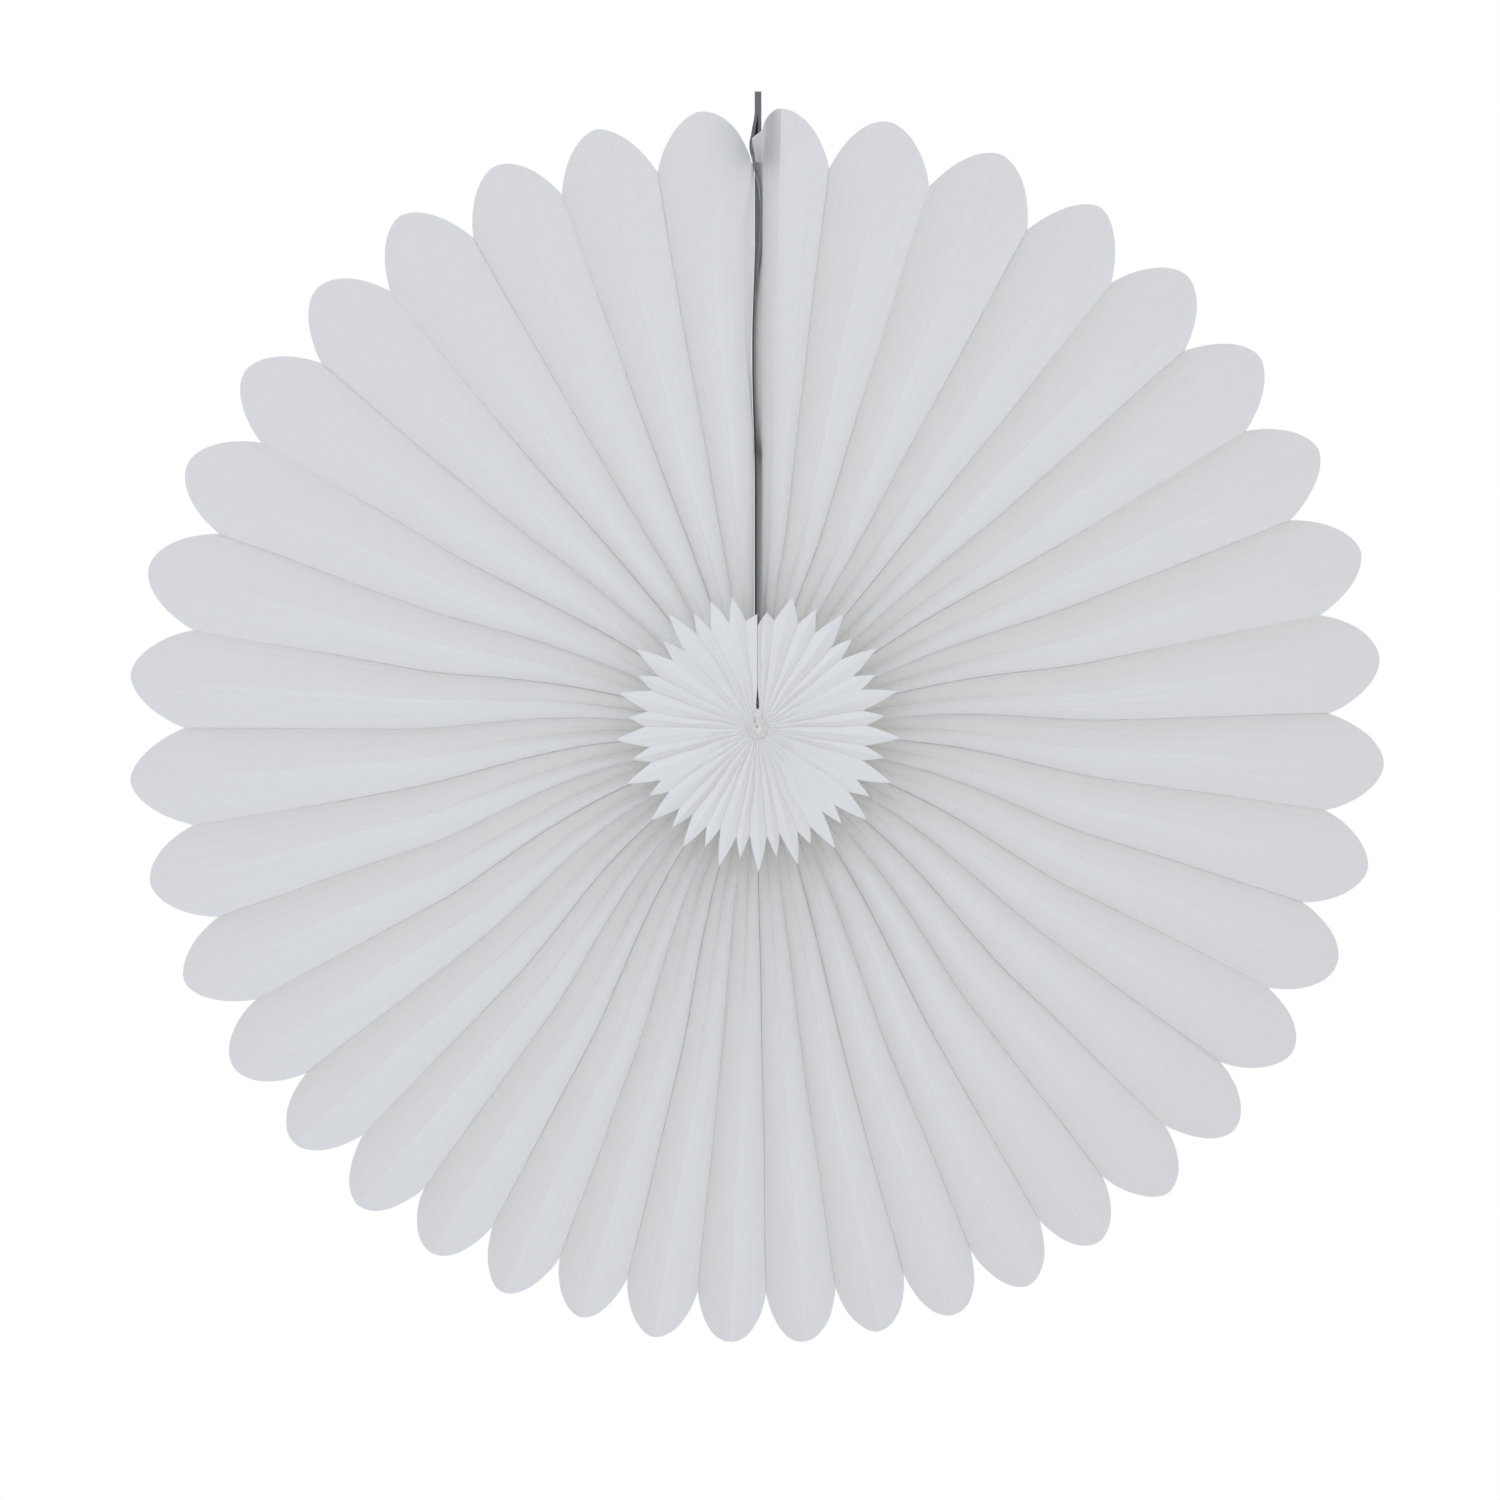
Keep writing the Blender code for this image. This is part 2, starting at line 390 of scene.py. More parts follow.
def outward(piece: bpy.types.Object) -> None:
    """Turns every face of a piece of closed bodies to point out."""
    bm = bmesh.new()
    bm.from_mesh(piece.data)
    bmesh.ops.recalc_face_normals(bm, faces=bm.faces[:])
    bm.to_mesh(piece.data)
    bm.free()


def soft_edges(piece: bpy.types.Object, sharp_over: float) -> None:
    """Shades a piece smooth, apart from edges that turn more than sharp_over degrees."""
    piece.data.shade_smooth()
    piece.data.set_sharp_from_angle(angle=math.radians(sharp_over))


# ---------------------------------------------------------------- finishes


class SharedEffects:
    """Shader groups that more than one material places, each made once."""

    def __init__(self) -> None:
        """Makes the groups."""
        self.fibres = self.make_fibres()
        self.pulp = self.make_pulp()

    @staticmethod
    def make_fibres() -> Tree:
        """The laid grain of thin paper, on coordinates in metres across and along the grain.

        Returns:
            A group with Vector, Grain and Streak in, and Tone and Height out.
        """
        inputs = {"Vector": SocketKind.VECTOR} | numbers("Grain", "Streak")
        bench, given, out = new_tree(
            "paper fibres", TreeKind.SHADER, inputs, numbers("Tone", "Height")
        )
        across, along, _ = bench.parts(given["Vector"].socket)
        fine, long = 1900.0, 320.0
        warp = bench.noise(bench.vector(across * fine, along * long, 0.0), 1.0, 2.0)
        weft = bench.noise(bench.vector(across * long, along * fine, 5.0), 1.0, 2.0)
        cloud = bench.noise(bench.vector(across * 60.0, along * 26.0, 9.0), 1.0, 4.0)
        streak = bench.noise(bench.vector(across * 420.0, along * 9.0, 3.0), 1.0, 3.0)
        laid = (warp + weft) * given["Grain"]
        lines = streak * given["Streak"]
        bench.feed(out.inputs["Tone"], laid * 0.5 + lines * 0.6 + cloud * 0.9 + 0.58)
        bench.feed(out.inputs["Height"], laid + lines * 0.5 + cloud * 0.4)
        return bench.tree

    @staticmethod
    def make_pulp() -> Tree:
        """The flecks and short fibres of recycled board and of glue, on object coordinates.

        Returns:
            A group with Vector and Scale in, and Fleck and Height out.
        """
        inputs = {"Vector": SocketKind.VECTOR} | numbers("Scale")
        bench, given, out = new_tree(
            "pulp flecks", TreeKind.SHADER, inputs, numbers("Fleck", "Height")
        )
        x, y, z = bench.parts(given["Vector"].socket)
        size = given["Scale"]
        flecks = bench.noise(bench.vector(x * size, y * size, z * size), 1.0, 5.0)
        half = size * 0.35
        hairs = bench.noise(bench.vector(x * half, y * size * 2.0, z * half), 1.0, 3.0)
        bench.feed(out.inputs["Fleck"], (flecks * 1.6 + hairs * 0.8 + 0.5).clamped())
        bench.feed(out.inputs["Height"], flecks + hairs * 0.6)
        return bench.tree


@dataclass(frozen=True)
class Finish:
    """A material: two tones that a pattern mixes, a roughness that follows it, and relief."""

    name: str
    slot: str
    light: Triple
    dark: Triple
    relief: float
    roughness: Pair = (0.78, 0.92)
    through: float = 0.0
    through_reach: float = 0.002

    def pattern(self, bench: Bench, effects: SharedEffects) -> tuple[Field, Field]:
        """The pattern's tone and height; each kind of finish has its own."""
        raise NotImplementedError

    def made(self, effects: SharedEffects) -> Material:
        """Makes the material.

        Args:
            effects: The shared shader groups.

        Returns:
            The material.
        """
        material = bpy.data.materials.new(self.name)
        material.use_nodes = True
        bench = Bench(material.node_tree)
        shader = material.node_tree.nodes["Principled BSDF"]
        tone, height = self.pattern(bench, effects)
        mixed = bench.node("ShaderNodeMix", data_type="RGBA", clamp_factor=True)
        bench.feed(mixed.inputs[0], tone)
        bench.feed(mixed.inputs[6], (*self.dark, 1.0))
        bench.feed(mixed.inputs[7], (*self.light, 1.0))
        bench.feed(shader.inputs["Base Color"], mixed.outputs[2])
        smooth, rough = self.roughness
        bench.feed(shader.inputs["Roughness"], (tone * (smooth - rough) + rough).clamped())
        bump = bench.placed("ShaderNodeBump", {"Height": height, "Distance": self.relief})
        bench.feed(shader.inputs["Normal"], bump.outputs[0])
        shader.inputs["Subsurface Weight"].default_value = self.through
        shader.inputs["Subsurface Radius"].default_value = (1.0, 1.0, 1.0)
        shader.inputs["Subsurface Scale"].default_value = self.through_reach
        material.diffuse_color = (*self.light, 1.0)
        return material


@dataclass(frozen=True)
class PaperFinish(Finish):
    """Thin white paper; the grain follows the sheet's own map."""

    grain: float = 1.0
    streak: float = 1.0

    def pattern(self, bench: Bench, effects: SharedEffects) -> tuple[Field, Field]:
        """Laid grain and soft streaks along the pleats."""
        place = bench.node("ShaderNodeUVMap", uv_map="UVMap")
        tone, height = bench.group(
            effects.fibres, Vector=place.outputs[0], Grain=self.grain, Streak=self.streak
        )
        return tone, height


@dataclass(frozen=True)
class PulpFinish(Finish):
    """Board, glue or tape: flecks at a scale in flecks a metre."""

    scale: float = 900.0

    def pattern(self, bench: Bench, effects: SharedEffects) -> tuple[Field, Field]:
        """Flecks and short fibres on object coordinates."""
        place = bench.node("ShaderNodeTexCoord")
        fleck, height = bench.group(
            effects.pulp, Vector=place.outputs["Object"], Scale=self.scale
        )
        return fleck, height


@dataclass(frozen=True)
class BoardFinish(PulpFinish):
    """Grey board: pulp flecks, and fine plies that show on its cut edges."""

    plies: float = 5200.0

    def pattern(self, bench: Bench, effects: SharedEffects) -> tuple[Field, Field]:
        """Flecks, with ply lines across the board's thickness."""
        fleck, height = super().pattern(bench, effects)
        place = bench.node("ShaderNodeTexCoord")
        x, y, z = bench.parts(place.outputs["Object"])
        ply = bench.noise(bench.vector(x * self.plies, y * 60.0, z * 60.0), 1.0, 2.0)
        return fleck + ply * 0.9, height + ply


PETAL_PAPER = PaperFinish(
    name="white_paper",
    slot="white_paper",
    light=(0.992, 0.992, 0.988),
    dark=(0.932, 0.924, 0.904),
    relief=0.00012,
    grain=1.3,
    streak=2.6,
    through=0.9,
)
STAR_PAPER = PaperFinish(
    name="star_paper",
    slot="star_paper",
    light=(0.950, 0.940, 0.912),
    dark=(0.880, 0.866, 0.834),
    relief=0.00012,
    grain=1.0,
    streak=2.0,
    through=0.04,
)
GREY_BOARD = BoardFinish(
    name="grey_board",
    slot="grey_board",
    light=(0.225, 0.225, 0.225),
    dark=(0.150, 0.150, 0.152),
    roughness=(0.80, 0.95),
    relief=0.00012,
    scale=1400.0,
)
COTTON = PulpFinish(
    name="cotton_thread",
    slot="cotton_thread",
    light=(0.80, 0.79, 0.76),
    dark=(0.62, 0.61, 0.58),
    roughness=(0.85, 0.98),
    relief=0.00006,
    scale=5200.0,
)
TAPE = PulpFinish(
    name="adhesive_tape",
    slot="adhesive_tape",
    light=(0.78, 0.77, 0.72),
    dark=(0.66, 0.65, 0.60),
    roughness=(0.35, 0.55),
    relief=0.00003,
    scale=600.0,
)


# ---------------------------------------------------------------- the fan's rule


@dataclass(frozen=True)
class FanRule:
    """Where the fan's folds run; the shape of every sheet follows from it."""

    hub: Vector
    panel: float
    seam_half: float
    petals: int = 40
    tip_radius: float = 0.300
    petal_rise: float = 0.027
    petal_curve: float = 1.85
    sheet_start: float = 0.0088
    flap_short: float = 0.002
    sag_side: float = 9.0
    sag_low: float = 1.9
    sag_shift: float = 0.8
    sag_at_hub: float = 0.5
    sag_reach: Pair = (0.060, 0.170)
    seam_pull: float = 2.2
    seam_reach: float = 7.0
    early_turn: float = 1.05
    early_over: Pair = (3.0, 6.0)
    tip_drop: float = 0.0007
    tip_side: float = 0.0022
    widest: float = 0.985

    @classmethod
    def from_frame(cls) -> "FanRule":
        """Reads the hub from the fold's joint and the panel and seam from the cards."""
        hub = Vector(next(j for j in frame["joints"] if j["name"] == "fan_fold")["pos_m"])
        low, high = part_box("end_card_right")
        return cls(hub=hub, panel=2 * high.y, seam_half=high.x + GLUE_GAP + PAPER / 2)

    @property
    def last_fold(self) -> int:
        """The number of the fold at the left end card."""
        return 2 * self.petals

    @property
    def notch_radius(self) -> float:
        """The radius of the notches between petals."""
        return self.tip_radius - self.petal_rise

    def spans(self) -> list[tuple[int, int]]:
        """(first fold, last fold) of each sheet, clockwise."""
        seams = [fold for fold in range(self.last_fold) if fold % 4 == 2]
        return list(zip([0] + seams, seams + [self.last_fold]))

    def spread_tree(self) -> Tree:
        """How far round a fold lies, before the cards take room.

        Returns:
            A group with Fold and Radius in, and Turn out, in radians.
        """
        bench, given, out = new_tree(
            "fold spread", TreeKind.GEOMETRY, numbers("Fold", "Radius"), numbers("Turn")
        )
        place = (given["Fold"] * (1 / self.last_fold)).clamped()
        share = given["Radius"].eased(*self.sag_reach) * (1 - self.sag_at_hub)
        sag = (place * FULL_TURN).of("SINE") * self.sag_side
        sag = sag - (place * (2 * FULL_TURN)).of("SINE") * self.sag_low
        sag = sag - (place * math.pi).of("SINE") * self.sag_shift
        pull = (place * -self.seam_reach).of("EXPONENT") * self.seam_pull
        sag = sag - pull * place.of("GREATER_THAN", 0.001)
        turn = place * FULL_TURN + (share + self.sag_at_hub) * sag * math.radians(1.0)
        bench.feed(out.inputs["Turn"], turn)
        return bench.tree


@dataclass(frozen=True)
class SeamRule:
    """How the paper and the end cards stand where the fan's two ends meet at 12 o'clock."""

    half: float
    drift: float = 0.00027
    sway: float = 0.00125
    sway_in: Pair = (0.120, 0.175)
    sway_out: Pair = (0.185, 0.235)
    right_lip: float = -0.00055
    right_open: float = 0.0016
    open_over: Pair = (0.205, 0.245)
    right_cover: float = 0.0039
    cover_over: Pair = (0.252, 0.2745)
    left_ridge: float = -0.0017
    left_out: float = 0.0046
    out_over: Pair = (0.130, 0.195)
    left_back: float = 0.0034
    back_over: Pair = (0.235, 0.275)
    splay: float = 0.0026
    splay_in: Pair = (0.266, 0.279)
    splay_out: Pair = (0.283, 0.2965)
    splay_depth: float = 0.0075
    pinch_over: Pair = (0.0175, 0.0255)

    def tree(self) -> Tree:
        """Where the seam's parts stand at a radius and a depth.

        Returns:
            A group with Radius and Depth in, and out: Drift, how far the cards and flaps
            sway aside; Right Lip and Left Lip, how far the two end ridges stand from where
            straight ones would; Splay, how far the left card bends out; and Pinch, how far
            the flaps close in behind the hub.
        """
        outputs = ("Drift", "Right Lip", "Left Lip", "Splay", "Pinch")
        bench, given, out = new_tree(
            "seam", TreeKind.GEOMETRY, numbers("Radius", "Depth"), numbers(*outputs)
        )
        radius, depth = given["Radius"], given["Depth"]
        swayed = radius.eased(*self.sway_in) - radius.eased(*self.sway_out)
        drift = self.drift - swayed * self.sway
        right = drift + self.right_lip + radius.eased(*self.open_over) * self.right_open
        right = right - radius.eased(*self.cover_over) * self.right_cover
        left = radius.eased(*self.out_over) * -self.left_out + self.left_ridge
        left = left + radius.eased(*self.back_over) * self.left_back
        bent = radius.eased(*self.splay_in) * (1.0 - radius.eased(*self.splay_out))
        forward = (depth * (-1 / self.splay_depth)).eased(0.0, 1.0)
        pinch = (1.0 - radius.eased(*self.pinch_over)) * (self.half * 0.94)
        values = (drift, right - self.half, left + self.half, bent * forward * -self.splay, pinch)
        for label, value in zip(outputs, values):
            bench.feed(out.inputs[label], value)
        return bench.tree


@dataclass
class SheetTree:
    """Common steps of the trees that fold one grid into a pleated sheet."""

    rule: FanRule
    spread: Tree
    seam: Tree
    steps: int
    crowd: float = 0.7
    hem_columns: int = 0

    def fold_place(
        self, bench: Bench, given: dict[str, Field]
    ) -> tuple[Field, Field, Field, Field, Field]:
        """Where each point of the grid lies on the pleats.

        Args:
            bench: The tree's bench.
            given: Its inputs.

        Returns:
            The fold before the point, its share of the way to the next, its share of the
            way out, its run in panels from the sheet's edge, and its steps past an edge.
        """
        x, y, _ = bench.here()
        step = (x + 0.5) * (given["Columns"] - 1.0) - given["Left Hem"]
        panels = given["Last Fold"] - given["First Fold"]
        past = bench.maths("MAXIMUM", 0.0 - step, step - panels * float(self.steps))
        run = (step * (1 / self.steps)).of("MAXIMUM", 0.0).of("MINIMUM", panels)
        fold = given["First Fold"] + run
        base = (fold + 0.0001).of("FLOOR").of("MINIMUM", given["Last Fold"] - 1.0)
        share = (fold - base).clamped()
        share = share - (share * FULL_TURN).of("SINE") * (self.crowd / FULL_TURN)
        return base, share, y + 0.5, run, past.of("MAXIMUM", 0.0)

    def set_down(
        self,
        bench: Bench,
        given: dict[str, Field],
        turn: Field,
        radius: Field,
        aside: Number,
        depth: Field,
        flat: Field,
    ) -> Socket:
        """Maps the sheet's grid and sets it round the hub.

        Args:
            bench: The tree's bench.
            given: Its inputs.
            turn: The angle from 12 o'clock, clockwise.
            radius: The distance from the hub.
            aside: How far a point stands off that angle, clockwise.
            depth: Its Y.
            flat: Its place across the flat sheet, in metres.

        Returns:
            The placed mesh.
        """
        grid = bench.grid(given["Columns"], given["Rows"])
        mapped = bench.mapped(grid, bench.vector(flat, radius, 0.0))
        sine, cosine = turn.of("SINE"), turn.of("COSINE")
        hub = self.rule.hub
        across = sine * radius + cosine * aside + hub.x
        up = cosine * radius - sine * aside + hub.z
        return bench.moved(mapped, Position=bench.vector(across, depth, up))


SHEET_INPUTS = {
    **numbers("First Fold", "Last Fold", "Left Hem", "Right Hem", "Seed"),
    "Columns": SocketKind.COUNT,
    "Rows": SocketKind.COUNT,
    "Paper": SocketKind.MATERIAL,
}
FOLD_INPUTS = numbers("Fold", "Radius", "Seed")


@dataclass
class PetalTree(SheetTree):
    """The tree that makes one petal sheet: scooped panels, wandering ridges, glued fins."""

    steps: int = 18
    hem_columns: int = 2
    bow: float = 0.13
    bow_back: float = 0.8
    wrinkle: float = 0.072
    wander: float = 0.0011
    wander_over: Pair = (0.03, 0.12)
    wander_waves: Pair = (3.7, 11.0)
    dip: float = 0.0007
    dip_waves: Pair = (5.1, 14.0)
    long_waves: Triple = (55.0, 9.0, 2.3)
    fine_waves: Triple = (210.0, 16.0, 1.0)
    fine_share: float = 0.3
    tip_chance: float = 0.0011
    notch_chance: float = 0.0009
    curve_chance: float = 0.16
    fin: float = 0.0012
    fin_lean: float = 0.12
    fin_fade: Pair = (0.058, 0.085)
    glue_room: float = 0.00009
    lip_share: float = 0.06
    first_rise: float = 0.0135
    lip_drop: float = 0.0025
    hub_turn: float = 2.4
    hub_turn_over: Pair = (0.045, 0.095)
    hub_turn_folds: Pair = (2.0, 12.0)

    def fold_tree(self) -> Tree:
        """Where a fold of the petals runs at a radius.

        Returns:
            A group with Fold, Radius and Seed in, and Turn and Depth out.
        """
        rule = self.rule
        bench, given, out = new_tree(
            "petal fold", TreeKind.GEOMETRY, FOLD_INPUTS, numbers("Turn", "Depth")
        )
        fold, radius = given["Fold"], given["Radius"]
        inside = fold.of("GREATER_THAN", 0.5) * fold.of("LESS_THAN", rule.last_fold - 0.5)
        room = (rule.seam_half / radius).of("ARCSINE")
        turn = bench.group(self.spread, Fold=fold, Radius=radius)[0]
        turn = room + turn * (1.0 - room * (1 / math.pi))
        waves = self.wander_waves
        line = bench.vector(fold * waves[0], radius * waves[1], given["Seed"])
        stray = bench.noise(line, 1.0, 1.0) * radius.eased(*self.wander_over) * inside
        turn = turn + stray * (2 * self.wander) / radius
        early = (1.0 - fold.eased(*rule.early_over)) * rule.early_turn
        inner = (1.0 - radius.eased(*self.hub_turn_over)) * fold.eased(0.0, 2.0)
        early = early + inner * (1.0 - fold.eased(*self.hub_turn_folds)) * self.hub_turn
        turn = turn - early * inside * math.radians(1.0)
        flat = radius.of("MINIMUM", rule.notch_radius)
        after = bench.group(self.spread, Fold=fold + 1.0, Radius=flat)[0]
        before = bench.group(self.spread, Fold=fold - 1.0, Radius=flat)[0]
        across = (flat * (after - before) * inside * 0.5).of("MINIMUM", rule.widest * rule.panel)
        side = fold.of("FLOORED_MODULO", 2.0) * 2.0 - 1.0
        deep = (rule.panel**2 - across * across).of("SQRT") * 0.5 * side
        waves = self.dip_waves
        line = bench.vector(fold * waves[0], radius * waves[1], given["Seed"] + 4.0)
        sway = bench.noise(line, 1.0, 1.0)
        bench.feed(out.inputs["Turn"], turn)
        bench.feed(out.inputs["Depth"], deep + sway * inside * (2 * self.dip))
        return bench.tree

    def tip(self, bench: Bench, fold: Field) -> Field:
        """A petal's tip radius at a fold."""
        rule = self.rule
        turn = bench.group(self.spread, Fold=fold, Radius=rule.tip_radius)[0]
        low = turn.of("COSINE") * rule.tip_drop
        return low - (turn * 2.0).of("COSINE") * rule.tip_side + rule.tip_radius

    def outer(
        self, bench: Bench, given: dict[str, Field], base: Field, share: Field
    ) -> tuple[Field, Field]:
        """The sheet's cut edge.

        Args:
            bench: The tree's bench.
            given: Its inputs.
            base: The fold before each point.
            share: The share of the way to the next.

        Returns:
            The outer radius, and the share of the way from the rear fold to the front one.
        """
        rule, seed = self.rule, given["Seed"]
        odd = base.of("FLOORED_MODULO", 2.0)
        rear, front = base + 1.0 - odd, base + odd
        from_rear = odd * share + (1.0 - odd) * (1.0 - share)
        start = self.tip(bench, front) - rule.petal_rise
        start = start + bench.chance(front, seed) * self.notch_chance
        start = start + base.of("COMPARE", 0.0, 0.5) * self.first_rise
        tip = self.tip(bench, rear) + bench.chance(rear, seed) * self.tip_chance
        curve = bench.chance(base + 0.5, seed) * self.curve_chance + rule.petal_curve
        end = start + (tip - start) * (1.0 - from_rear**curve)
        lip = (1.0 - share * (1 / self.lip_share)).clamped() * base.of("COMPARE", 0.0, 0.5)
        end = end - lip * self.lip_drop
        flap = base.of("LESS_THAN", -0.5) + base.of("GREATER_THAN", rule.last_fold - 0.5)
        end = end + (rule.notch_radius - rule.flap_short - end) * flap
        return end, from_rear

    def beside_seam(self, bench: Bench, base: Field, share: Field, at: tuple[Field, Field]) -> Field:
        """How far the end sheets' edges stand aside at the seam.

        Args:
            bench: The tree's bench.
            base: The fold before each point.
            share: The share of the way to the next.
            at: The point's radius and depth.

        Returns:
            The distance aside, clockwise, which is 0 away from the seam.
        """
        last = self.rule.last_fold
        drift, right, left, splay, pinch = bench.group(self.seam, Radius=at[0], Depth=at[1])
        lip = ((share - (1.0 - self.lip_share)) * (1 / self.lip_share)).clamped()
        right_flap = drift + (right - drift) * lip - pinch * (1.0 - share)
        lip = ((self.lip_share - share) * (1 / self.lip_share)).clamped()
        left_flap = drift + splay + (left - drift - splay) * lip + pinch * share
        aside = base.of("LESS_THAN", -0.5) * right_flap
        aside = aside + base.of("COMPARE", 0.0, 0.5) * right * lip
        aside = aside + base.of("COMPARE", float(last - 1), 0.5) * left * share
        return aside + base.of("GREATER_THAN", last - 0.5) * left_flap

    def tree(self) -> Tree:
        """The whole tree."""
        rule = self.rule
        sheet = {"Sheet": SocketKind.GEOMETRY}
        bench, given, out = new_tree("petal sheet", TreeKind.GEOMETRY, SHEET_INPUTS, sheet)
        base, share, way, run, past = self.fold_place(bench, given)
        end, from_rear = self.outer(bench, given, base, share)
        radius = (end - rule.sheet_start) * way + rule.sheet_start
        line = self.fold_tree()
        turn, depth = bench.group(line, Fold=base, Radius=radius, Seed=given["Seed"])
        far = bench.group(line, Fold=base + 1.0, Radius=radius, Seed=given["Seed"])
        across, rise = radius * (far[0] - turn), far[1] - depth
        width = (across * across + rise * rise).of("SQRT").of("MAXIMUM", 0.0001)
        scoop = ((1.0 - from_rear) ** self.bow_back * math.pi).of("SINE") * self.bow
        flat = (base + share) * rule.panel
        still = 1.0 - (share * 2.0 - 1.0).of("ABSOLUTE") ** 4.0
        long_waves, fine_waves = (
            bench.noise(bench.vector(flat * across_by, radius * out_by, base * fold_by), 1.0, 2.0)
            for across_by, out_by, fold_by in (self.long_waves, self.fine_waves)
        )
        waves = long_waves + fine_waves * self.fine_share
        push = across * (scoop + waves * still * (2 * self.wrinkle))
        hem = past * (self.fin / 2) * radius.eased(*self.fin_fade)
        panels = given["Last Fold"] - given["First Fold"]
        left = (1.0 - run).of("MAXIMUM", 0.0) * given["Left Hem"] * 0.5
        right = (1.0 - (panels - run)).of("MAXIMUM", 0.0) * given["Right Hem"] * 0.5
        aside = (left - right) * self.glue_room - rise / width * push
        aside = aside - hem * self.fin_lean
        deep = depth + rise * share
        aside = aside + self.beside_seam(bench, base, share, (radius, deep))
        moved = self.set_down(
            bench,
            given,
            turn + (far[0] - turn) * share,
            radius,
            aside,
            deep + across / width * push - hem,
            flat,
        )
        return bench.finish(moved, given["Paper"], out)


